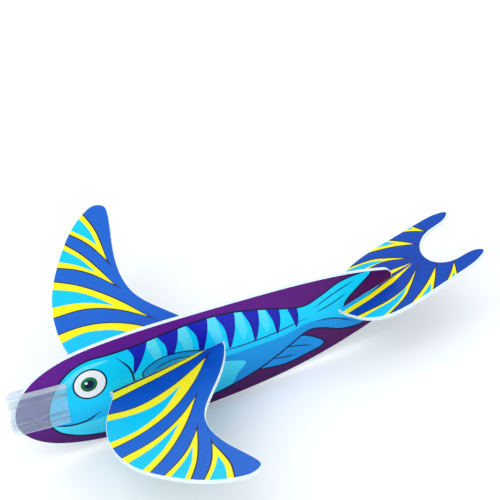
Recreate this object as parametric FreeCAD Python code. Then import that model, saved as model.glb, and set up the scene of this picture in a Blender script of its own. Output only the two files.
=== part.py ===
"""Foam-sheet hand glider in the shape of a fish, as four push-together pieces.

fuselage   upright foam plate with a closed wing slot and an open tail slit
wing       one foam sheet through the wing slot, bent up on both sides
tailplane  forked foam sheet in the tail slit
nose_cap   clear ribbed plastic sleeve folded over the nose

Millimetres. +X runs aft from nose to tail, +Y to starboard, +Z up.
Outlines are drawn from a datum on the nose, then everything is moved so that the
origin is the middle of the glider's footprint, at the height of its lowest point.
"""

import FreeCAD
import Part

import math
import os

V = FreeCAD.Vector

# ---- all foam sheets ----
FOAM = 2.0                     # thickness
SLOT_CLEARANCE = 0.15          # between a foam face and the slot wall that faces it

# ---- fuselage, side view: (aft of the nose datum, above it), from the upper rear round the nose ----
FUSELAGE_OUTLINE = [(180.0, 3.2), (163.0, 8.4), (140.0, 12.7), (90.0, 18.1), (42.0, 20.9), (19.0, 18.2),
                    (3.9, 9.4), (-1.8, -5.4), (4.6, -16.6), (18.0, -24.5), (34.0, -29.0),
                    (64.0, -32.0), (97.0, -32.3), (127.0, -30.3), (157.0, -24.4), (180.0, -17.2)]
UPPER_REAR_ROUNDING = 4.4
LOWER_REAR_ROUNDING = 5.5
BELLY_TRIM = 0.15              # cut straight off the bottom of the curve, so the belly has a flat to stand on

# ---- wing: plan view, (aft, out from the middle) ----
WING_DATUM = (60.0, -5.6)      # a point of the root's middle line: aft, up
WING_PITCH = 4.0               # degrees, rear edge up
ROOT_FRONT = 42.0
ROOT_REAR = 95.8
ROOT_FLAT = 3.4                # both edges run straight this far out, so the wing can be centred
WING_OUTLINE = [(ROOT_FRONT, ROOT_FLAT), (36.6, 14.0), (31.6, 30.0), (30.9, 50.0), (36.2, 71.0),
                (45.6, 88.0), (56.5, 102.0), (66.5, 109.6), (72.4, 111.2), (76.5, 108.4),
                (76.7, 103.0), (72.8, 87.0), (69.2, 65.0), (71.1, 50.0), (78.5, 36.0),
                (87.0, 22.8), (93.0, 11.0), (ROOT_REAR, ROOT_FLAT)]
ROOT_BEND_HALF_WIDTH = 15.0    # the sheet curves up over this distance each side of the slot
ROOT_BEND_ANGLE = 10.2         # degrees that it has turned there
OUTER_BEND_RADIUS = 930.0      # gentle curl of each half beyond the root bend
SLOT_END_PLAY = 0.6            # free length at each end of the wing slot

# ---- tailplane: plan view, (aft, out from the middle) ----
TAIL_DATUM = (180.0, -2.6)     # a point of its middle plane: aft, up
TAIL_PITCH = 14.0              # degrees, rear edge up
TAIL_FRONT = 152.6
TAIL_NOTCH = 197.5             # bottom of the fork
TAIL_OUTLINE = [(TAIL_FRONT, 0.0), (154.6, 7.2), (159.0, 14.8), (166.5, 21.0), (177.0, 23.5),
                (192.0, 23.5), (207.0, 23.0), (215.8, 21.3), (219.2, 18.4), (217.0, 15.5),
                (206.4, 13.5), (200.2, 8.9), (TAIL_NOTCH, 0.0)]
SLIT_FRONT_PLAY = 0.3

# ---- nose cap: a ribbed sheet folded round the nose, drawn level and then tilted ----
CAP_DATUM = (0.0, -0.9)        # origin of its own drawing: aft, up
CAP_TILT = 8.0                 # degrees, rear end down
CAP_FRONT = -3.3
CAP_REAR = 22.2
CAP_BOTTOM = -9.0
CAP_TOP = 12.3
CAP_GAP = 2.2                  # inside width, the foam plus its clearance
CAP_WALL = 0.8
CAP_CORNER_ROUNDING = 3.5      # of the fold's upper and lower ends
RIBS = [(5.95, 6.85, 0.3), (-3.45, -2.55, 0.3), (-6.55, -5.65, 0.3)]     # from, to, height proud
HEM = (9.8, CAP_TOP, 0.5)      # thicker band along the upper edge: from, to, height proud

REACH = 60.0                   # cutting bodies run past the parts by at least this much


def smooth(points, closed=False):
    """Smooth edge through points."""
    curve = Part.BSplineCurve()
    curve.interpolate(Points=points, PeriodicFlag=closed)
    return curve.toShape()


def line(a, b):
    return Part.LineSegment(a, b).toShape()


def arc(a, middle, b):
    return Part.Arc(a, middle, b).toShape()


def solid_from(edges, sweep):
    """Solid swept from the closed outline that edges make."""
    return Part.Face(Part.Wire(edges)).extrude(sweep)


def pitched_slot(front, rear, datum, pitch):
    """Cutter for a foam sheet through the fuselage from front to rear, nose-down by pitch degrees."""
    height = FOAM + 2 * SLOT_CLEARANCE
    stretch = 1 / math.cos(math.radians(pitch))
    cutter = Part.makeBox((rear - front) * stretch, 2 * FOAM, height,
                          V((front - datum[0]) * stretch, -FOAM, -height / 2))
    cutter.rotate(V(0, 0, 0), V(0, 1, 0), -pitch)
    cutter.translate(V(datum[0], 0, datum[1]))
    return cutter


def crosswise_edge(solid, x, z):
    """The edge of solid that runs across the glider through a point of the side view."""
    return min(solid.Edges, key=lambda e: (e.CenterOfMass - V(x, 0, z)).Length)


def make_fuselage():
    outline = [V(x, -FOAM / 2, z) for x, z in FUSELAGE_OUTLINE]
    plate = solid_from([smooth(outline), line(outline[-1], outline[0])], V(0, FOAM, 0))
    plate = plate.makeFillet(UPPER_REAR_ROUNDING, [crosswise_edge(plate, *FUSELAGE_OUTLINE[0])])
    plate = plate.makeFillet(LOWER_REAR_ROUNDING, [crosswise_edge(plate, *FUSELAGE_OUTLINE[-1])])
    flat_level = plate.optimalBoundingBox().ZMin + BELLY_TRIM
    below_belly = Part.makeBox(4 * REACH, 2 * FOAM, REACH, V(0, -FOAM, flat_level - REACH))
    wing_slot = pitched_slot(ROOT_FRONT - SLOT_END_PLAY, ROOT_REAR + SLOT_END_PLAY, WING_DATUM, WING_PITCH)
    tail_slit = pitched_slot(TAIL_FRONT - SLIT_FRONT_PLAY, TAIL_DATUM[0] + REACH, TAIL_DATUM, TAIL_PITCH)
    return plate.cut(below_belly).cut(wing_slot).cut(tail_slit)


def bent_line(offset, span):
    """Cross-section line of the bent wing at an offset from its middle: three tangent arcs."""
    turn = math.radians(ROOT_BEND_ANGLE)
    root_radius = ROOT_BEND_HALF_WIDTH / math.sin(turn)
    centre_gap = OUTER_BEND_RADIUS - root_radius
    centre = V(0, -centre_gap * math.sin(turn), root_radius + centre_gap * math.cos(turn))
    tip_turn = math.asin((span - centre.y) / OUTER_BEND_RADIUS)

    def outer_point(angle):
        return centre + V(0, math.sin(angle), -math.cos(angle)) * (OUTER_BEND_RADIUS - offset)

    bend_end, middle, tip = [outer_point(a) for a in (turn, (turn + tip_turn) / 2, tip_turn)]
    port_end, port_middle, port_tip = [V(0, -p.y, p.z) for p in (bend_end, middle, tip)]
    return [arc(port_tip, port_middle, port_end),
            arc(port_end, V(0, 0, offset), bend_end),
            arc(bend_end, middle, tip)]


def make_wing():
    root = [V(x, y, -REACH) for x, y in WING_OUTLINE]
    port = [V(p.x, -p.y, p.z) for p in root]
    plan = [smooth(root), line(root[-1], port[-1]), smooth(port), line(port[0], root[0])]
    blank = solid_from(Part.__sortEdges__(plan), V(0, 0, 2 * REACH))

    span = max(y for x, y in WING_OUTLINE) + FOAM
    upper = bent_line(FOAM / 2, span)
    lower = bent_line(-FOAM / 2, span)
    ends = [line(upper[0].Vertexes[0].Point, lower[0].Vertexes[0].Point),
            line(upper[-1].Vertexes[-1].Point, lower[-1].Vertexes[-1].Point)]
    rise = math.tan(math.radians(WING_PITCH))
    sheet = solid_from(Part.__sortEdges__(upper + lower + ends), V(2 * REACH, 0, 2 * REACH * rise))
    sheet.translate(V(WING_DATUM[0] - REACH, 0, WING_DATUM[1] - REACH * rise))
    return sheet.common(blank)


def make_tailplane():
    pitch = math.radians(TAIL_PITCH)
    normal = V(-math.sin(pitch), 0, math.cos(pitch))
    under = [V(x, y, TAIL_DATUM[1] + (x - TAIL_DATUM[0]) * math.tan(pitch)) - normal * (FOAM / 2)
             for x, y in TAIL_OUTLINE]
    mirrored = [V(p.x, -p.y, p.z) for p in reversed(under[1:-1])]
    return solid_from([smooth(under + mirrored, closed=True)], normal * FOAM)


def folded_sheet(half_width, thickness, rear, bottom, height):
    """A sheet folded round the nose like a hairpin, seen from above, and its height."""
    inner = half_width - thickness
    fold = CAP_FRONT + CAP_GAP / 2 + CAP_WALL

    def hairpin(half):
        return [line(V(rear, -half, bottom), V(fold, -half, bottom)),
                arc(V(fold, -half, bottom), V(fold - half, 0, bottom), V(fold, half, bottom)),
                line(V(fold, half, bottom), V(rear, half, bottom))]

    ends = [line(V(rear, side * inner, bottom), V(rear, side * half_width, bottom)) for side in (-1, 1)]
    return solid_from(Part.__sortEdges__(hairpin(half_width) + hairpin(inner) + ends), V(0, 0, height))


def make_nose_cap():
    half_width = CAP_GAP / 2 + CAP_WALL
    cap = folded_sheet(half_width, CAP_WALL, CAP_REAR, CAP_BOTTOM, CAP_TOP - CAP_BOTTOM)
    for low, high, proud in RIBS + [HEM]:
        cap = cap.fuse(folded_sheet(half_width + proud, CAP_WALL / 2 + proud, CAP_REAR, low, high - low))
    front = CAP_FRONT - HEM[2]
    side_view = Part.makeBox(CAP_REAR - front, 4 * half_width, CAP_TOP - CAP_BOTTOM,
                             V(front, -2 * half_width, CAP_BOTTOM))
    front_ends = [e for e in side_view.Edges
                  if e.BoundBox.YLength > half_width and abs(e.BoundBox.XMin - front) < 0.01]
    cap = cap.common(side_view.makeFillet(CAP_CORNER_ROUNDING, front_ends))
    cap.rotate(V(0, 0, 0), V(0, 1, 0), CAP_TILT)
    cap.translate(V(CAP_DATUM[0], 0, CAP_DATUM[1]))
    return cap.removeSplitter()


def main():
    parts = {
        "fuselage": make_fuselage(),
        "wing": make_wing(),
        "tailplane": make_tailplane(),
        "nose_cap": make_nose_cap(),
    }
    box = Part.makeCompound(list(parts.values())).optimalBoundingBox()
    to_origin = V(-(box.XMin + box.XMax) / 2, 0, -box.ZMin)
    os.makedirs("parts", exist_ok=True)
    for name, shape in parts.items():
        shape.translate(to_origin)
        shape.exportStep("parts/" + name + ".step")
        size = shape.optimalBoundingBox()
        print(name, shape.ShapeType, len(shape.Solids), shape.isValid(), round(shape.Volume, 1),
              [round(v, 2) for v in (size.XMin, size.YMin, size.ZMin, size.XMax, size.YMax, size.ZMax)])
    print("nose datum is at", [round(v, 3) for v in to_origin])


main()
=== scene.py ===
"""Looks of the foam-sheet hand glider: printed foam sheets with cut edges and a clear ribbed nose cap.

Each foam sheet takes its outline from its CAD node. Its artwork is flat coloured shapes in millimetres from
the nose datum (aft, up) or (aft, out from the middle), cut into the sheet's two printed faces.
"""

import math

import bmesh
import bpy
from mathutils import Euler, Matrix, Quaternion, Vector, noise
from mathutils.geometry import delaunay_2d_cdt


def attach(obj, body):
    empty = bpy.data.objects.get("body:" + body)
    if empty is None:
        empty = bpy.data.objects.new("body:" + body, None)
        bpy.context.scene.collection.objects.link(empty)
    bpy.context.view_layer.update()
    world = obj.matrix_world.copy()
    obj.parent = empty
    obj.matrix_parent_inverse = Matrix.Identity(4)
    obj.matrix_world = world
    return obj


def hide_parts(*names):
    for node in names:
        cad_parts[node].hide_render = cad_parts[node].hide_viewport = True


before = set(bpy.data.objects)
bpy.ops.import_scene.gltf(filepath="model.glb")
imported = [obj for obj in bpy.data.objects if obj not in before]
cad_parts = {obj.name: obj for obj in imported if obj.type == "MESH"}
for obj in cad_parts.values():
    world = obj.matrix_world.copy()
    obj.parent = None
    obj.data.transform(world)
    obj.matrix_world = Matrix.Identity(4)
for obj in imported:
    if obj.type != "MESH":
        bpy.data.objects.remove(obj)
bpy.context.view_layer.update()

MM = 0.001
NOSE_DATUM = Vector((-107.483, 0.0, 32.28))    # millimetres, in the frame

# ---- foam sheets, in millimetres like the next three groups ----
HALF_FOAM = 1.0
EDGE_ROUNDING = 0.28           # of the cut edges
EDGE_STEP = 1.1                # length of an outline segment
FACE_STEP = 4.0                # grid inside the printed faces
GRID_MARGIN = 1.6              # from that grid to the outline
CORNER = math.radians(28)      # an outline turning more than this has a sharp corner
CELL_RELIEF = 0.07             # how far the cut foam is uneven

# ---- bent wing and pitched tailplane, as in the CAD part ----
WING_DATUM = (60.0, -5.6)
WING_RISE = math.tan(math.radians(4.0))
ROOT_BEND_HALF_WIDTH = 15.0
ROOT_BEND_ANGLE = math.radians(10.2)
OUTER_BEND_RADIUS = 930.0
TAIL_DATUM = (180.0, -2.6)
TAIL_PITCH = math.radians(14.0)

# ---- nose cap, drawn level and then tilted, as in the CAD part ----
CAP_DATUM = (0.0, -0.9)
CAP_TILT = math.radians(8.0)
CAP_FRONT = -3.3
CAP_REAR = 22.2
CAP_BOTTOM = -9.0
CAP_TOP = 12.3
CAP_HALF_GAP = 1.1
CAP_WALL = 0.8
CAP_CORNER = 3.5
CAP_LIP = 0.3                  # rounding of its free edges
RIBS = [(6.4, 0.6), (-3.0, 0.6), (-6.1, 0.6)]     # height, half width
RIB_PROUD = 0.3
HEM_FROM = 9.8                 # the upper edge is folded back on itself above this
HEM_PROUD = 0.5

# ---- print ----
LINE_OUTSIDE = 0.32            # the dark line round each stripe reaches this far past its drawn edge
LINE_INSIDE = 0.32             # and this far inside it
FILL_SPREAD = 0.18             # the cyan middle reaches this far past its drawn edge
SPIKE = 6.0                    # the dark line runs on this far past a stripe's point
BODY_LINE = 0.85               # of the dark line round the fish
FIN_LINE = 0.6                 # of the dark line round its side fin
BOLD_PEN = 0.9                 # of its mouth and gill lines
FINE_PEN = 0.6                 # of its side line and the rays of its tail and rear fins
THIN_PEN = 0.5                 # of the rays of its side fin
TAPER_POINTS = 7               # a chevron's colours reach their full width over this many points

# ---- printed film ----
INK_SPECULAR = 0.16
INK_COAT = 0.04
INK_COAT_ROUGHNESS = 0.28
INK_ROUGHNESS = (0.36, 0.50)
INK_MOTTLE = (0.93, 1.04)
AFT_TINT = (-0.02, 0.07, 0.85) # from X to X, in metres, and the body ink's most share of its rear colour

# ---- studio, in metres ----
FLOOR_HALF_SIZE = 3.0
LIGHTS_AIM = (0.0, 0.0, 0.03)
KEY_LIGHT = ((-0.5, -0.45, 0.9), 1.1, 3.9)     # place, width, watts
FILL_LIGHT = ((0.7, -0.5, 0.7), 1.3, 1.6)
SKY_COLOUR = (0.97, 0.985, 1.0, 1.0)
SKY_STRENGTH = 0.95
CAMERA_PLACE = (-0.1233, -0.5251, 0.4348)
CAMERA_AIM = (0.0098, 0.0, 0.0716)
CAMERA_ROLL = -12.2            # degrees
CAMERA_LENS = 108.0            # millimetres, on a sensor 36 wide


# ================= curves in the plane of a sheet =================

def smooth_line(points, steps=7):
    """Catmull-Rom line through points."""
    p = [Vector(q) for q in points]
    p = [2 * p[0] - p[1]] + p + [2 * p[-1] - p[-2]]
    line = []
    for a, b, c, d in zip(p, p[1:], p[2:], p[3:]):
        for i in range(steps):
            t = i / steps
            line.append(0.5 * (2 * b + (c - a) * t + (2 * a - 5 * b + 4 * c - d) * t * t
                               + (3 * b - a - 3 * c + d) * t ** 3))
    return line + [p[-2]]


def smooth_loop(points, steps=6):
    """Closed Catmull-Rom line through points."""
    p = [Vector(q) for q in points]
    line = smooth_line(p[-2:] + p + p[:2], steps)
    return line[2 * steps:-steps - 1]


def left_of(direction):
    return Vector((-direction.y, direction.x)).normalized()


def beside(line, distance, taper=0):
    """Open line moved to its left by distance, growing to that from its start over a number of points."""
    moved = []
    for i, p in enumerate(line):
        ahead = line[min(i + 1, len(line) - 1)] - line[max(i - 1, 0)]
        share = min(1.0, i / taper) if taper else 1.0
        moved.append(p + left_of(ahead) * distance * share)
    return moved


def grown(loop, distance):
    """Closed loop moved to its right by distance, with mitred corners."""
    moved = []
    for i, p in enumerate(loop):
        a = left_of(p - loop[i - 1])
        b = left_of(loop[(i + 1) % len(loop)] - p)
        middle = (a + b).normalized()
        moved.append(p - middle * (distance / max(middle.dot(a), 0.4)))
    return moved


def area(loop):
    return sum(a.x * b.y - b.x * a.y for a, b in zip(loop, loop[1:] + loop[:1])) / 2


def anticlockwise(loop):
    return loop if area(loop) > 0 else loop[::-1]


def bounds(points):
    """Lower left and upper right corner of the box round points."""
    return (Vector((min(p.x for p in points), min(p.y for p in points))),
            Vector((max(p.x for p in points), max(p.y for p in points))))


def inside(p, loop):
    found = False
    for a, b in zip(loop, loop[1:] + loop[:1]):
        if (a.y > p.y) != (b.y > p.y) and p.x < a.x + (b.x - a.x) * (p.y - a.y) / (b.y - a.y):
            found = not found
    return found


def circle(centre, radius, count=28):
    return [Vector(centre) + radius * Vector((math.cos(a), math.sin(a)))
            for a in (math.tau * i / count for i in range(count))]


def pen(points, width, steps=6):
    """A drawn line as a shape that tapers to both ends."""
    line = smooth_line(points, steps)
    last = len(line) - 1
    right = []
    left = []
    for i, p in enumerate(line):
        half = width / 2 * min(1.0, 0.15 + 4 * min(i, last - i) / last)
        side = left_of(line[min(i + 1, last)] - line[max(i - 1, 0)]) * half
        left.append(p + side)
        right.append(p - side)
    return left + right[::-1]


# ================= artwork: (material, shape, shape it stays inside or None) =================

def chevron(inboard, inboard_fill, outboard_fill, outboard):
    """A yellow chevron with a cyan middle. Its lines run forward from its points past the sheet's edge."""
    a, b, c, d = [smooth_line(line) for line in (inboard, inboard_fill, outboard_fill, outboard)]
    spike = a[0] + (a[0] - (a[2] + d[2]) / 2).normalized() * SPIKE
    dark = beside(a, LINE_OUTSIDE)[:0:-1] + [spike] + beside(d, -LINE_OUTSIDE)[1:]
    yellow = beside(a, -LINE_INSIDE, TAPER_POINTS)[::-1] + beside(d, LINE_INSIDE, TAPER_POINTS)[1:]
    cyan = beside(b, FILL_SPREAD, TAPER_POINTS)[::-1] + beside(c, -FILL_SPREAD, TAPER_POINTS)[1:]
    return [("ink_line", dark, None), ("ink_yellow", yellow, None), ("ink_cyan", cyan, None)]


WING_ROOT_BAND = [(88.0, 0.6), (64.0, 1.7), (36.0, 2.2), (36.0, 7.3), (64.0, 4.9), (80.0, 2.7)]
WING_CHEVRONS = [
    ([(85.4, 6.2), (67.5, 15.8), (54.0, 20.0), (45.0, 19.8), (36.0, 16.2), (27.0, 11.5)],
     [(69.4, 18.8), (58.2, 25.4), (47.0, 26.0), (34.0, 21.4), (27.0, 18.0)],
     [(69.4, 18.8), (58.4, 31.2), (49.0, 37.2), (40.0, 39.8), (27.0, 38.8)],
     [(85.4, 6.2), (75.0, 21.2), (64.0, 32.8), (53.0, 40.2), (41.0, 44.2), (27.0, 45.2)]),
    ([(71.6, 33.8), (62.5, 43.0), (54.0, 49.4), (44.0, 53.8), (28.0, 56.0)],
     [(60.0, 48.0), (51.2, 55.0), (42.4, 59.4), (30.0, 62.8)],
     [(60.0, 48.0), (52.4, 58.6), (45.0, 66.2), (33.0, 74.5)],
     [(71.6, 33.8), (64.4, 47.6), (56.4, 59.4), (47.6, 69.4), (35.0, 79.5)]),
    ([(64.2, 60.2), (57.0, 71.0), (50.0, 78.4), (39.0, 86.2)],
     [(59.0, 71.4), (51.8, 80.8), (40.5, 90.6)],
     [(59.0, 71.4), (54.6, 83.2), (46.5, 97.0)],
     [(64.2, 60.2), (60.6, 73.8), (56.2, 85.8), (48.2, 100.5)]),
    ([(66.2, 76.0), (62.7, 86.2), (59.0, 94.0), (52.0, 104.5)],
     [(65.1, 87.0), (61.2, 95.3), (54.5, 105.5)],
     [(65.1, 87.0), (64.6, 97.6), (61.2, 112.0)],
     [(66.2, 76.0), (67.3, 88.0), (67.2, 98.6), (64.4, 113.0)]),
]
TAIL_ROOT_STRIPE = [(191.0, 0.4), (179.0, 4.6), (166.0, 6.0), (148.0, 6.2), (148.0, 3.2), (165.0, 3.2),
                    (179.0, 1.4)]
TAIL_ROOT_FILL = [(178.0, -0.5), (165.0, 3.2), (148.0, 3.2), (148.0, -0.5)]
TAIL_CHEVRONS = [
    ([(190.2, 5.8), (181.4, 11.8), (171.6, 13.2), (163.5, 12.2), (150.0, 9.8)],
     [(182.9, 12.0), (173.6, 14.8), (165.5, 14.4), (152.0, 13.8)],
     [(182.9, 12.0), (177.3, 16.4), (171.3, 19.0), (158.0, 22.5)],
     [(190.2, 5.8), (183.6, 13.4), (177.0, 18.4), (160.0, 24.5)]),
    ([(197.6, 11.4), (190.2, 17.0), (183.2, 21.2), (172.0, 26.5)],
     [(191.8, 18.4), (187.8, 21.2), (179.5, 26.0)],
     [(191.8, 18.4), (189.6, 22.0), (186.0, 27.0)],
     [(197.6, 11.4), (194.2, 17.8), (187.8, 27.0)]),
    ([(205.2, 15.4), (200.8, 20.0), (193.0, 27.0)],
     [(202.2, 20.6), (199.4, 23.8), (196.0, 27.5)],
     [(202.2, 20.6), (201.6, 23.8), (200.4, 27.5)],
     [(205.2, 15.4), (203.8, 20.6), (201.2, 27.5)]),
]

# a plain fish: its outline runs from the nose over the back, round the tail fin and along the belly
FISH = [(12.6, -9.4), (14.0, -2.6), (18.6, 5.4), (26.0, 11.8), (35.0, 14.4), (46.0, 13.4), (58.0, 13.0),
        (72.0, 13.6), (88.0, 13.6), (102.0, 11.6), (116.0, 7.4), (128.0, 2.6), (136.6, 0.6), (145.0, 2.8),
        (156.0, 6.6), (169.6, 6.2), (163.6, 1.2), (156.8, -3.6), (154.4, -8.0), (157.0, -13.0),
        (162.4, -19.4), (152.0, -18.6), (142.4, -14.0), (135.0, -12.8), (124.0, -17.6), (108.0, -23.6),
        (88.0, -27.2), (66.0, -28.2), (44.0, -27.0), (28.0, -23.8), (18.6, -19.2), (14.0, -14.6)]
FISH_BELLY = [(13.4, -13.4), (30.0, -17.0), (50.0, -16.4), (72.0, -14.4), (92.0, -12.6), (110.0, -12.4),
              (126.0, -12.8), (116.0, -24.0), (98.0, -32.0), (68.0, -34.0), (30.0, -30.0), (14.0, -20.0)]
BACK_STRIPES = [
    [(53.0, 17.0), (63.0, 17.0), (60.4, 7.6), (53.6, -1.0), (55.4, 8.2)],
    [(67.0, 17.0), (77.0, 17.0), (75.6, 6.4), (69.6, -3.4), (70.4, 7.0)],
    [(81.0, 17.0), (90.6, 17.0), (89.8, 5.6), (84.6, -5.2), (84.8, 6.4)],
    [(94.6, 15.6), (103.0, 14.4), (102.8, 3.4), (98.4, -6.8), (98.0, 4.6)],
    [(107.0, 13.0), (114.0, 10.6), (114.0, 0.8), (110.6, -7.8), (109.8, 2.0)],
    [(118.0, 9.6), (123.6, 7.6), (124.0, -1.4), (121.4, -8.6), (120.4, -0.6)],
    [(127.6, 6.0), (132.0, 4.0), (132.6, -3.2), (130.8, -8.8), (129.4, -2.6)],
]
BACK_LIGHTS = [
    [(61.6, 14.6), (66.0, 14.6), (67.6, 4.0), (65.4, -0.6), (63.2, 6.0)],
    [(75.8, 14.6), (80.4, 14.6), (82.4, 3.4), (79.6, -2.0), (77.4, 5.6)],
    [(89.4, 14.6), (94.2, 14.4), (96.2, 2.0), (93.4, -3.4), (91.2, 4.6)],
    [(101.8, 13.6), (106.2, 12.8), (108.0, 0.6), (105.4, -4.8), (103.6, 3.2)],
    [(113.0, 10.4), (117.0, 9.0), (118.8, -1.4), (116.6, -5.8), (115.0, 0.6)],
]
CHEEK = [(20.0, 5.0), (27.0, 10.6), (35.6, 12.6), (44.4, 11.2), (40.0, 10.6), (32.0, 9.6), (25.0, 5.6),
         (19.6, 0.0)]
UNDERSHADE = [(92.0, -10.8), (108.0, -10.6), (124.0, -10.8), (137.0, -9.0), (148.0, -11.6), (160.0, -16.0),
              (160.0, -22.0), (140.0, -22.0), (120.0, -30.0), (96.0, -30.0), (99.0, -22.0), (104.0, -16.6)]
SIDE_FIN = [(57.6, -2.4), (66.0, 1.6), (78.0, 0.6), (90.0, -5.0), (80.0, -7.6), (70.0, -8.4), (61.0, -7.2)]
SIDE_FIN_RAYS = [[(62.0, -2.6), (72.0, -1.0), (82.0, -3.2)], [(62.0, -5.0), (70.0, -5.0), (79.0, -5.6)]]
REAR_FIN = [(106.0, -22.0), (116.0, -19.0), (126.0, -14.4), (134.0, -15.4), (142.0, -22.6), (132.0, -25.0),
            (120.0, -25.8)]
REAR_FIN_RAYS = [[(116.0, -21.0), (122.0, -22.4), (128.0, -23.4)],
                 [(124.0, -17.6), (130.0, -19.2), (136.0, -21.6)]]
TAIL_FIN_RAYS = [[(140.0, -2.4), (150.0, 1.4), (162.0, 4.8)], [(141.0, -5.0), (149.0, -3.4), (157.0, -0.6)],
                 [(140.0, -9.4), (149.0, -11.6), (157.0, -16.4)]]
SIDE_LINE = [(92.0, -6.6), (108.0, -7.6), (122.0, -7.4), (137.0, -5.8)]
GILL = [(47.6, 11.4), (52.4, 3.0), (52.6, -6.6), (48.8, -15.0), (43.0, -20.8)]
MOUTH = [(13.0, -11.8), (20.0, -15.0), (28.0, -15.8), (35.6, -13.4)]
EYE = (33.8, 2.6)
EYE_RADIUS = 7.1
EYE_LINE = 0.8
IRIS = (33.4, 2.6)
IRIS_RADIUS = 3.8
PUPIL_RADIUS = 2.2
GLINT = (32.3, 3.6)
GLINT_RADIUS = 0.7


def outlined(material, shape, width):
    """A filled shape with a dark line round it."""
    return [("ink_dark", grown(anticlockwise(shape), width), None), (material, shape, None)]


def fuselage_art():
    body = smooth_loop(FISH)
    art = outlined("ink_fin", smooth_loop(REAR_FIN), BODY_LINE)
    art += [("ink_dark", pen(ray, FINE_PEN), None) for ray in REAR_FIN_RAYS]
    art += outlined("ink_fish", body, BODY_LINE)
    art += [("ink_belly", smooth_loop(FISH_BELLY), body), ("ink_fin", smooth_loop(UNDERSHADE), body)]
    art += [("ink_light", smooth_loop(light, 5), body) for light in BACK_LIGHTS + [CHEEK]]
    art += [("ink_stripe", smooth_loop(stripe, 5), body) for stripe in BACK_STRIPES]
    art += [("ink_dark", pen(ray, FINE_PEN), body) for ray in TAIL_FIN_RAYS]
    art += [("ink_dark", pen(SIDE_LINE, FINE_PEN), body), ("ink_dark", pen(GILL, BOLD_PEN), body)]
    art += outlined("ink_fin", smooth_loop(SIDE_FIN), FIN_LINE)
    art += [("ink_dark", pen(ray, THIN_PEN), None) for ray in SIDE_FIN_RAYS]
    art += [("ink_dark", pen(MOUTH, BOLD_PEN), body),
            ("ink_dark", circle(EYE, EYE_RADIUS + EYE_LINE), None),
            ("ink_white", circle(EYE, EYE_RADIUS), None),
            ("ink_green", circle(IRIS, IRIS_RADIUS), None),
            ("ink_dark", circle(IRIS, PUPIL_RADIUS), None),
            ("ink_white", circle(GLINT, GLINT_RADIUS), None)]
    return art


def wing_art():
    band = [Vector(p) for p in WING_ROOT_BAND]
    # the dark line round the root band is twice as wide, so the strip next to the fuselage is dark: partly
    # printed line, partly painted shade at the junction
    art = [("ink_line", grown(anticlockwise(band), 2 * LINE_OUTSIDE), None), ("ink_yellow", band, None)]
    for lines in WING_CHEVRONS:
        art += chevron(*lines)
    return art


def tail_art():
    stripe = [Vector(p) for p in TAIL_ROOT_STRIPE]
    art = [("ink_line", grown(anticlockwise(stripe), LINE_OUTSIDE), None),
           ("ink_yellow", stripe, None),
           ("ink_cyan", [Vector(p) for p in TAIL_ROOT_FILL], None)]
    for lines in TAIL_CHEVRONS:
        art += chevron(*lines)
    return art


# ================= where a sheet's flat coordinates lie =================

def fuselage_flat(p):
    return Vector((p.x, p.z))


def fuselage_point(u, v, t):
    return Vector((u, -t * HALF_FOAM, v))


def wing_flat(p):
    return Vector((p.x, p.y))


def wing_point(u, v, t):
    out = abs(v)
    root_radius = ROOT_BEND_HALF_WIDTH / math.sin(ROOT_BEND_ANGLE)
    if out < (root_radius - t * HALF_FOAM) * math.sin(ROOT_BEND_ANGLE):
        height = root_radius - math.sqrt((root_radius - t * HALF_FOAM) ** 2 - out * out)
    else:
        gap = OUTER_BEND_RADIUS - root_radius
        radius = OUTER_BEND_RADIUS - t * HALF_FOAM
        height = (root_radius + gap * math.cos(ROOT_BEND_ANGLE)
                  - math.sqrt(radius ** 2 - (out + gap * math.sin(ROOT_BEND_ANGLE)) ** 2))
    return Vector((u, v, WING_DATUM[1] + WING_RISE * (u - WING_DATUM[0]) + height))


TAIL_ALONG = Vector((math.cos(TAIL_PITCH), 0.0, math.sin(TAIL_PITCH)))
TAIL_NORMAL = Vector((-math.sin(TAIL_PITCH), 0.0, math.cos(TAIL_PITCH)))


def tail_flat(p):
    along = (p - Vector((TAIL_DATUM[0], 0.0, TAIL_DATUM[1]))).dot(TAIL_ALONG)
    return Vector((TAIL_DATUM[0] + along * math.cos(TAIL_PITCH), p.y))


def tail_point(u, v, t):
    along = (u - TAIL_DATUM[0]) / math.cos(TAIL_PITCH)
    middle = Vector((TAIL_DATUM[0], v, TAIL_DATUM[1])) + TAIL_ALONG * along
    return middle + TAIL_NORMAL * (t * HALF_FOAM)


# ================= meshes =================

def chained(edges):
    """Loops of vertex keys from directed edges."""
    following = dict(edges)
    loops = []
    while following:
        start = next(iter(following))
        loop = [start]
        here = following.pop(start)
        while here != start:
            loop.append(here)
            here = following.pop(here)
        loops.append(loop)
    return loops


def cad_outlines(node, facing, flat):
    """The flat outlines of the faces of a CAD node that face one way, with the sheet to their left."""
    bm = bmesh.new()
    bm.from_mesh(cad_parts[node].data)
    bmesh.ops.remove_doubles(bm, verts=bm.verts, dist=2e-6)
    bm.verts.index_update()
    bm.faces.index_update()
    chosen = {f.index for f in bm.faces if f.normal.dot(Vector(facing)) > 0.6}
    edges = []
    for f in bm.faces:
        for loop in f.loops:
            if f.index in chosen and sum(g.index in chosen for g in loop.edge.link_faces) == 1:
                edges.append((loop.vert.index, loop.link_loop_next.vert.index))
    places = {v.index: flat(v.co / MM - NOSE_DATUM) for v in bm.verts}
    loops = [[places[i] for i in loop] for loop in chained(edges)]
    bm.free()
    return loops


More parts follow.
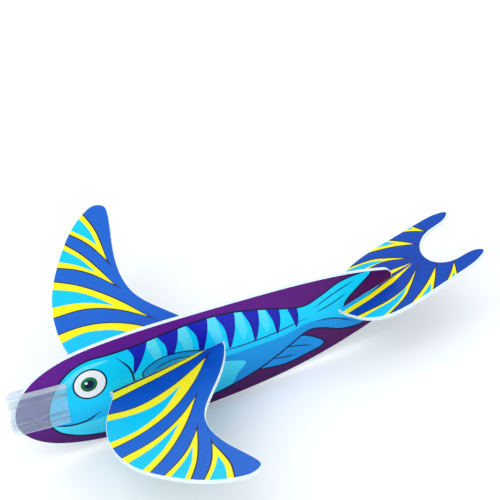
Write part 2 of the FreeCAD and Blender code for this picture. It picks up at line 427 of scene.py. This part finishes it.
def resampled(loop):
    """The outline again with even short segments, smooth between its corners."""
    count = len(loop)
    turns = [abs((p - loop[i - 1]).angle_signed(loop[(i + 1) % count] - p)) for i, p in enumerate(loop)]
    corners = [i for i in range(count) if turns[i] > CORNER]
    start = corners[0] if corners else 0
    loop = loop[start:] + loop[:start]
    stops = [i - start for i in corners] + [count] if corners else [0, count]
    fine = []
    for a, b in zip(stops, stops[1:]):
        run = [loop[i % count] for i in range(a, b + 1)]
        length = sum((q - p).length for p, q in zip(run, run[1:]))
        dense = smooth_line(run, 10)
        steps = max(1, round(length / EDGE_STEP))
        total = sum((q - p).length for p, q in zip(dense, dense[1:]))
        walked = 0.0
        wanted = 0
        for p, q in zip(dense, dense[1:]):
            piece = (q - p).length
            while wanted < steps and walked + piece >= total * wanted / steps - 1e-9:
                share = (total * wanted / steps - walked) / piece
                fine.append(p.lerp(q, max(0.0, share)))
                wanted += 1
            walked += piece
    return fine


def edge_profile():
    """(distance in from the outline, position through the thickness) from one printed face to the other."""
    quarter = []
    for i in range(4):
        a = math.pi / 2 * i / 3
        quarter.append((EDGE_ROUNDING * (1 - math.sin(a)), HALF_FOAM - EDGE_ROUNDING * (1 - math.cos(a))))
    middle = [(0.0, 0.36), (0.0, 0.0), (0.0, -0.36)]
    return quarter + middle + [(inset, -t) for inset, t in reversed(quarter)]


def printed_sheet(name, loops, point, art, ground, mirrored):
    """A foam sheet whose two faces carry the artwork."""
    loops = [resampled(loop) for loop in loops]
    faces_from = [grown(loop, -EDGE_ROUNDING) for loop in loops]
    lines = list(faces_from)
    for _, shape, _ in art:
        lines.append(shape)
        if mirrored:
            lines.append([Vector((p.x, -p.y)) for p in shape])
    places = []
    edges = []
    for line in lines:
        first = len(places)
        places += line
        edges += [(first + i, first + (i + 1) % len(line)) for i in range(len(line))]
    low, high = bounds(max(faces_from, key=lambda loop: abs(area(loop))))
    for i in range(int((high.x - low.x) / FACE_STEP)):
        for j in range(int((high.y - low.y) / FACE_STEP)):
            shift = 0.5 * (j % 2)
            p = low + FACE_STEP * Vector((i + 0.4 + shift, j + 0.5))
            if all((p - q).length > GRID_MARGIN for loop in faces_from for q in loop):
                places.append(p)
    places, _, triangles, _, _, _ = delaunay_2d_cdt(places, edges, [], 0, 1e-4)

    layers = [(*layer, bounds(layer[1])) for layer in reversed(art)]

    def paint(p):
        if mirrored:
            p = Vector((p.x, abs(p.y)))
        for material, shape, limit, (low, high) in layers:
            near = low.x < p.x < high.x and low.y < p.y < high.y
            if near and inside(p, shape) and (limit is None or inside(p, limit)):
                return material
        return ground

    kept = []
    for triangle in triangles:
        a, b, c = (places[i] for i in triangle)
        centre = (a + b + c) / 3
        if sum(inside(centre, loop) for loop in faces_from) % 2 == 1 and abs(area([a, b, c])) > 1e-7:
            order = triangle if area([a, b, c]) > 0 else triangle[::-1]
            kept.append((order, paint(centre)))

    directed = {(t[i], t[(i + 1) % 3]) for t, _ in kept for i in range(3)}
    rims = chained([(a, b) for a, b in directed if (b, a) not in directed])

    names = [ground] + sorted({m for m, _, _ in art} - {ground}) + ["foam_edge"]
    bm = bmesh.new()
    used = sorted({i for t, _ in kept for i in t})
    upper = {i: bm.verts.new(placed(point(places[i].x, places[i].y, 1))) for i in used}
    lower = {i: bm.verts.new(placed(point(places[i].x, places[i].y, -1))) for i in used}
    for triangle, material in kept:
        for corners in ([upper[i] for i in triangle], [lower[i] for i in triangle[::-1]]):
            face = bm.faces.new(corners)
            face.material_index = names.index(material)

    profile = edge_profile()
    for rim in rims:
        line = [places[i] for i in rim]
        rings = []
        for inset, t in profile[1:-1]:
            ring = []
            for p, q in zip(line, grown(line, EDGE_ROUNDING - inset)):
                uneven = noise.noise(Vector((q.x * 1.7, q.y * 1.7, t * 2.2))) * CELL_RELIEF
                share = 1 - abs(t) ** 4
                if (p - q).length > 1e-6:
                    q = q + (p - q).normalized() * (abs(uneven) * share)
                ring.append(bm.verts.new(placed(point(q.x, q.y, t))))
            rings.append(ring)
        rings = [[upper[i] for i in rim]] + rings + [[lower[i] for i in rim]]
        for above, below in zip(rings, rings[1:]):
            for i in range(len(rim)):
                j = (i + 1) % len(rim)
                face = bm.faces.new((above[j], above[i], below[i], below[j]))
                face.material_index = names.index("foam_edge")
    return finished(name, bm, names)


def placed(p):
    return (p + NOSE_DATUM) * MM


def finished(name, bm, names):
    """The mesh as an object, smooth except at sharp edges and where print meets cut foam."""
    bmesh.ops.recalc_face_normals(bm, faces=bm.faces)
    for face in bm.faces:
        face.smooth = True
    for edge in bm.edges:
        if len(edge.link_faces) == 2:
            a, b = edge.link_faces
            cut = ("foam_edge" in names and (names[a.material_index] == "foam_edge")
                   != (names[b.material_index] == "foam_edge"))
            edge.smooth = not cut and a.normal.angle(b.normal, 0.0) < math.radians(50)
    mesh = bpy.data.meshes.new(name)
    bm.to_mesh(mesh)
    bm.free()
    for material in names:
        mesh.materials.append(MATERIALS[material])
    piece = bpy.data.objects.new(name, mesh)
    bpy.context.scene.collection.objects.link(piece)
    return piece


def relief(h):
    """How far the cap's outer face stands proud at height h, for its ribs and its hem."""
    proud = 0.0
    for rib, half in RIBS:
        distance = abs(h - rib) / half
        if distance < 1:
            proud = RIB_PROUD * math.cos(distance * math.pi / 2) ** 2
    if h > HEM_FROM:
        rise = min(1.0, (h - HEM_FROM) / 0.4)
        proud = HEM_PROUD * math.sin(rise * math.pi / 2)
    return proud


def band(h):
    """Which finish the cap has at height h: 0 sheet, 1 rib, with painted shade and highlight, 2 rim, with
    painted highlight.
    """
    if h > HEM_FROM or h < CAP_BOTTOM + CAP_LIP:
        return 2
    return 1 if relief(h) > 0 else 0


def hairpin(half, turns=12, straights=14):
    """Points and outward directions of the fold from above, from the port rear to the starboard rear."""
    fold = CAP_FRONT + CAP_HALF_GAP + CAP_WALL
    port = [(Vector((CAP_REAR + (fold - CAP_REAR) * i / straights, -half)), Vector((0.0, -1.0)))
            for i in range(straights)]
    round_front = []
    for i in range(turns + 1):
        a = -math.pi / 2 - math.pi * i / turns
        outward = Vector((math.cos(a), math.sin(a)))
        round_front.append((Vector((fold, 0.0)) + half * outward, outward))
    starboard = [(Vector((p.x, -p.y)), Vector((0.0, 1.0))) for p, _ in reversed(port)]
    return port + round_front + starboard


def cap_heights():
    heights = [CAP_BOTTOM + (CAP_TOP - CAP_BOTTOM) * i / 14 for i in range(15)]
    for rib, half in RIBS:
        heights += [rib + half * k / 3 for k in range(-3, 4)]
    heights += [HEM_FROM, HEM_FROM + 0.15, HEM_FROM + 0.4]
    for step in (0.03, 0.1, 0.2, 0.3):
        heights += [CAP_BOTTOM + step, CAP_TOP - step]
    ordered = []
    for h in sorted(heights):
        if not ordered or h - ordered[-1] > 0.02:
            ordered.append(h)
    return ordered


def cap_limits(x):
    """Lowest and highest point of the cap's rounded side view at x."""
    short = max(0.0, CAP_CORNER - (x - CAP_FRONT))
    cut = CAP_CORNER - math.sqrt(max(0.0, CAP_CORNER ** 2 - short ** 2))
    return CAP_BOTTOM + cut, CAP_TOP - cut


def tilted(p):
    turned = Euler((0.0, CAP_TILT, 0.0)).to_matrix() @ p
    return placed(turned + Vector((CAP_DATUM[0], 0.0, CAP_DATUM[1])))


def nose_cap():
    """A clear sheet folded round the nose, with pressed ribs, a hem on top and rounded free edges."""
    bm = bmesh.new()
    heights = cap_heights()
    layers = []
    for outer in (True, False):
        grid = []
        for p, outward in hairpin(CAP_HALF_GAP + CAP_WALL / 2):
            low, high = cap_limits(p.x)
            row = []
            for h in heights:
                share = (h - CAP_BOTTOM) / (CAP_TOP - CAP_BOTTOM)
                edge = min(1.0, (h - CAP_BOTTOM) / CAP_LIP, (CAP_TOP - h) / CAP_LIP)
                round_over = math.sqrt(max(0.0, 1 - (1 - edge) ** 2))
                out = (CAP_WALL / 2 + relief(h)) * round_over if outer else -CAP_WALL / 2 * round_over
                q = p + outward * out
                row.append(bm.verts.new(tilted(Vector((q.x, q.y, low + share * (high - low))))))
            grid.append(row)
        layers.append(grid)
    for grid in layers:
        for near, far in zip(grid, grid[1:]):
            for j in range(len(heights) - 1):
                face = bm.faces.new((near[j], far[j], far[j + 1], near[j + 1]))
                face.material_index = band((heights[j] + heights[j + 1]) / 2)
    for end in (0, -1):
        outer, inner = layers[0][end], layers[1][end]
        for j in range(len(heights) - 1):
            face = bm.faces.new((outer[j], outer[j + 1], inner[j + 1], inner[j]))
            face.material_index = 2
    bmesh.ops.remove_doubles(bm, verts=bm.verts, dist=1e-6)
    return finished("clear_nose_cap", bm, ["clear_sheet", "clear_rib_painted_shade_and_highlight", "clear_rim_painted_highlight"])


# ================= materials =================

def srgb(red, green, blue):
    """Screen colour, 0 to 255, as linear values."""
    linear = []
    for value in (red, green, blue):
        c = value / 255
        linear.append(c / 12.92 if c <= 0.04045 else ((c + 0.055) / 1.055) ** 2.4)
    return (*linear, 1.0)


class Nodes:
    """A new material's node tree, with short ways to add and join nodes."""

    def __init__(self, name):
        self.material = bpy.data.materials.new(name)
        self.material.use_nodes = True
        self.tree = self.material.node_tree
        self.shader = next(n for n in self.tree.nodes if n.type == "BSDF_PRINCIPLED")
        self.place = self.add("ShaderNodeTexCoord").outputs["Object"]

    def add(self, kind, settings=None, **inputs):
        node = self.tree.nodes.new(kind)
        for key, value in (settings or {}).items():
            setattr(node, key, value)
        for key, value in inputs.items():
            self.put(node.inputs[key], value)
        return node

    def put(self, socket, value):
        if isinstance(value, bpy.types.NodeSocket):
            self.tree.links.new(value, socket)
        else:
            socket.default_value = value

    def noise(self, scale, detail=2.0, roughness=0.5):
        node = self.add("ShaderNodeTexNoise", Vector=self.place, Scale=scale, Detail=detail,
                        Roughness=roughness)
        return node.outputs["Fac"]

    def cells(self, scale, feature="F1"):
        node = self.add("ShaderNodeTexVoronoi", {"feature": feature}, Vector=self.place, Scale=scale)
        return node.outputs["Distance"]

    def ranged(self, value, low, high, to_low, to_high):
        node = self.add("ShaderNodeMapRange", Value=value)
        for key, number in zip(("From Min", "From Max", "To Min", "To Max"), (low, high, to_low, to_high)):
            node.inputs[key].default_value = number
        return node.outputs["Result"]

    def math(self, operation, a, b=0.0):
        node = self.add("ShaderNodeMath", {"operation": operation})
        self.put(node.inputs[0], a)
        self.put(node.inputs[1], b)
        return node.outputs[0]

    def mixed(self, share, a, b, blend="MIX"):
        node = self.add("ShaderNodeMix", {"data_type": "RGBA", "blend_type": blend})
        self.put(node.inputs["Factor"], share)
        self.put(node.inputs["A"], a)
        self.put(node.inputs["B"], b)
        return node.outputs["Result"]

    def bump(self, height, distance, strength=1.0, normal=None):
        node = self.add("ShaderNodeBump", Height=height, Distance=distance, Strength=strength)
        if normal is not None:
            self.put(node.inputs["Normal"], normal)
        return node.outputs["Normal"]

    def axis(self, name):
        return self.add("ShaderNodeSeparateXYZ", Vector=self.place).outputs[name]


def ink_with_painted_shade(name, near, far, axis, start, end, absolute=False, aft=None):
    """Ink on dimpled foam film. Its colour runs from near to far along an axis, which is painted shade
    where near is the darker colour, and it tints to aft towards the tail.
    """
    n = Nodes(name)
    along = n.axis(axis)
    if absolute:
        along = n.math("ABSOLUTE", along)
    cloud = n.math("SUBTRACT", n.noise(55.0, 3.0), 0.5)
    clouded = n.math("ADD", along, n.math("MULTIPLY", cloud, abs(end - start) * 0.35))
    # painted shade: the ramp from near to far, darker where near is the darker colour
    base = n.mixed(n.ranged(clouded, start, end, 0.0, 1.0), near, far)
    if aft:
        front, rear, most = AFT_TINT
        base = n.mixed(n.ranged(n.axis("X"), front, rear, 0.0, most), base, aft)
    mottle = n.ranged(n.noise(900.0, 3.0, 0.6), 0.3, 0.7, *INK_MOTTLE)
    grey = n.add("ShaderNodeCombineXYZ", X=mottle, Y=mottle, Z=mottle).outputs[0]
    base = n.mixed(1.0, base, grey, "MULTIPLY")
    n.put(n.shader.inputs["Base Color"], base)
    n.put(n.shader.inputs["Roughness"], n.ranged(n.noise(260.0, 2.0), 0.25, 0.75, *INK_ROUGHNESS))
    n.shader.inputs["Specular IOR Level"].default_value = INK_SPECULAR
    n.shader.inputs["Coat Weight"].default_value = INK_COAT
    n.shader.inputs["Coat Roughness"].default_value = INK_COAT_ROUGHNESS
    dimples = n.bump(n.cells(780.0, "SMOOTH_F1"), 0.00010, 0.55)
    waves = n.bump(n.noise(70.0, 2.0), 0.0006, 0.35, dimples)
    n.put(n.shader.inputs["Normal"], waves)
    return n.material


def foam_edge():
    """Cut polystyrene foam: fused beads, with painted shade, slightly blue, in the gaps between them."""
    n = Nodes("foam_edge")
    beads = n.cells(1100.0)
    gaps = n.cells(1100.0, "DISTANCE_TO_EDGE")
    shade = n.ranged(gaps, 0.0, 0.12, 0.0, 1.0)
    # painted shade: darker and bluer in the gaps between the beads
    base = n.mixed(shade, srgb(213, 232, 244), srgb(236, 247, 253))
    base = n.mixed(n.ranged(n.noise(160.0, 3.0), 0.3, 0.75, 0.0, 0.35), base, srgb(214, 236, 250))
    n.put(n.shader.inputs["Base Color"], base)
    n.put(n.shader.inputs["Roughness"], n.ranged(beads, 0.0, 0.8, 0.55, 0.8))
    n.shader.inputs["Specular IOR Level"].default_value = 0.3
    n.shader.inputs["Subsurface Weight"].default_value = 0.2
    n.shader.inputs["Subsurface Radius"].default_value = (0.0009, 0.0010, 0.0012)
    rough = n.bump(n.noise(2600.0, 3.0), 0.00006, 0.5)
    n.put(n.shader.inputs["Normal"], n.bump(shade, 0.00012, 0.8, rough))
    return n.material


def clear_plastic(name, dull, bright, least, most):
    """Thin clear pressed sheet, milkier where it is creased or seen edge on, with fine scuffs along it. The
    rib and rim copies carry painted shade and painted highlight in their colours.
    """
    n = Nodes(name)
    facing = n.add("ShaderNodeLayerWeight", Blend=0.35).outputs["Facing"]
    along = n.add("ShaderNodeMapping", Vector=n.place, Scale=(60.0, 600.0, 900.0)).outputs["Vector"]
    scuffs = n.add("ShaderNodeTexNoise", Vector=along, Scale=1.0, Detail=3.0).outputs["Fac"]
    n.put(n.shader.inputs["Base Color"], n.mixed(n.ranged(scuffs, 0.35, 0.7, 0.0, 1.0), dull, bright))
    n.put(n.shader.inputs["Roughness"], n.ranged(scuffs, 0.3, 0.7, 0.08, 0.22))
    n.put(n.shader.inputs["Alpha"], n.ranged(facing, 0.0, 1.0, least, most))
    n.shader.inputs["Specular IOR Level"].default_value = 0.5
    n.shader.inputs["Coat Weight"].default_value = 0.3
    n.shader.inputs["Coat Roughness"].default_value = 0.05
    n.put(n.shader.inputs["Normal"], n.bump(scuffs, 0.00004, 0.4))
    n.material.surface_render_method = "BLENDED"
    return n.material


def floor_paper():
    n = Nodes("floor_paper")
    n.put(n.shader.inputs["Base Color"],
          n.mixed(n.ranged(n.noise(3.0), 0.3, 0.7, 0.0, 1.0), srgb(246, 248, 249), srgb(252, 253, 253)))
    n.shader.inputs["Roughness"].default_value = 0.9
    n.shader.inputs["Specular IOR Level"].default_value = 0.1
    return n.material


MATERIALS = {
    # painted shade: the fuselage inks that run along Z are darker towards the belly and lighter at the top
    "ink_purple": ink_with_painted_shade("ink_purple", srgb(60, 8, 78), srgb(95, 14, 137), "Z", 0.004, 0.036,
                            aft=srgb(71, 1, 72)),
    "ink_fish": ink_with_painted_shade("ink_fish", srgb(10, 140, 214), srgb(2, 206, 250), "Z", 0.004, 0.030),
    "ink_fin": ink_with_painted_shade("ink_fin", srgb(6, 126, 206), srgb(14, 156, 224), "Z", 0.004, 0.036),
    "ink_belly": ink_with_painted_shade("ink_belly", srgb(20, 176, 222), srgb(72, 214, 236), "Z", 0.004, 0.020),
    "ink_light": ink_with_painted_shade("ink_light", srgb(40, 204, 240), srgb(96, 228, 250), "Z", 0.024, 0.046),
    "ink_stripe": ink_with_painted_shade("ink_stripe", srgb(18, 16, 140), srgb(22, 34, 190), "Z", 0.020, 0.048),
    "ink_dark": ink_with_painted_shade("ink_dark", srgb(4, 12, 52), srgb(2, 20, 70), "X", -0.1, 0.1),
    "ink_white": ink_with_painted_shade("ink_white", srgb(226, 230, 234), srgb(246, 246, 248), "Z", 0.026, 0.044),
    "ink_green": ink_with_painted_shade("ink_green", srgb(4, 84, 54), srgb(16, 128, 80), "Z", 0.030, 0.040),
    "ink_line": ink_with_painted_shade("ink_line", srgb(44, 24, 58), srgb(52, 44, 52), "X", -0.1, 0.1),
    "ink_yellow": ink_with_painted_shade("ink_yellow", srgb(248, 234, 12), srgb(243, 240, 22), "Y", 0.0, 0.11, True),
    # painted shade: the wing and tailplane blues, and a little the cyan, are darker at the root beside the
    # fuselage
    "ink_cyan": ink_with_painted_shade("ink_cyan", srgb(0, 188, 236), srgb(0, 202, 240), "Y", 0.0, 0.11, True),
    "wing_blue": ink_with_painted_shade("wing_blue", srgb(4, 68, 180), srgb(20, 96, 200), "Y", 0.000, 0.045, True),
    "tail_blue": ink_with_painted_shade("tail_blue", srgb(2, 60, 166), srgb(2, 72, 178), "Y", 0.0, 0.024, True),
    "foam_edge": foam_edge(),
    "clear_sheet": clear_plastic("clear_sheet", srgb(176, 208, 224), srgb(206, 232, 243), 0.17, 0.34),
    # painted shade and highlight: the dark blue-grey and the pale colour stand for the shaded and lit sides
    # of the ribs
    "clear_rib_painted_shade_and_highlight": clear_plastic("clear_rib_painted_shade_and_highlight", srgb(112, 126, 168), srgb(214, 226, 242), 0.34, 0.60),
    # partly the milkier folded hem, partly painted highlight: the white band along the top edge, the lower
    # lip and the ends
    "clear_rim_painted_highlight": clear_plastic("clear_rim_painted_highlight", srgb(196, 212, 230), srgb(236, 244, 252), 0.36, 0.64),
}


# ================= pieces =================

fuselage = printed_sheet("printed_fuselage", cad_outlines("fuselage", (0, -1, 0), fuselage_flat),
                         fuselage_point, fuselage_art(), "ink_purple", False)
wing = printed_sheet("printed_wing", cad_outlines("wing", (0, 0, 1), wing_flat),
                     wing_point, wing_art(), "wing_blue", True)
tailplane = printed_sheet("printed_tailplane", cad_outlines("tailplane", TAIL_NORMAL, tail_flat),
                          tail_point, tail_art(), "tail_blue", True)
cap = nose_cap()

for piece, node, slot in ((fuselage, "fuselage", "printed_foam_body"),
                          (wing, "wing", "printed_foam_wing"),
                          (tailplane, "tailplane", "printed_foam_tail"),
                          (cap, "nose_cap", "clear_plastic")):
    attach(piece, node)
    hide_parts(node)


# ================= floor, light and camera =================

def studio_floor():
    bm = bmesh.new()
    bmesh.ops.create_grid(bm, x_segments=8, y_segments=8, size=FLOOR_HALF_SIZE)
    mesh = bpy.data.meshes.new("studio_floor")
    bm.to_mesh(mesh)
    bm.free()
    mesh.materials.append(floor_paper())
    floor = bpy.data.objects.new("studio_floor", mesh)
    bpy.context.scene.collection.objects.link(floor)


def area_light(name, place, width, watts):
    light = bpy.data.lights.new(name, "AREA")
    light.shape = "DISK"
    light.size = width
    light.energy = watts
    lamp = bpy.data.objects.new(name, light)
    lamp.location = place
    lamp.rotation_euler = (Vector(LIGHTS_AIM) - Vector(place)).to_track_quat("-Z", "Y").to_euler()
    bpy.context.scene.collection.objects.link(lamp)


def camera():
    data = bpy.data.cameras.new("camera")
    data.lens = CAMERA_LENS
    data.sensor_width = 36.0
    data.clip_start = 0.01
    view = bpy.data.objects.new("camera", data)
    turn = (Vector(CAMERA_AIM) - Vector(CAMERA_PLACE)).to_track_quat("-Z", "Y")
    view.rotation_mode = "QUATERNION"
    view.rotation_quaternion = turn @ Quaternion((0.0, 0.0, 1.0), math.radians(CAMERA_ROLL))
    view.location = CAMERA_PLACE
    bpy.context.scene.collection.objects.link(view)
    bpy.context.scene.camera = view


studio_floor()
area_light("key_light", *KEY_LIGHT)
area_light("fill_light", *FILL_LIGHT)
world = bpy.data.worlds.new("studio")
world.use_nodes = True
world.node_tree.nodes["Background"].inputs["Color"].default_value = SKY_COLOUR
world.node_tree.nodes["Background"].inputs["Strength"].default_value = SKY_STRENGTH
bpy.context.scene.world = world
bpy.context.scene.view_settings.view_transform = "Standard"

camera()
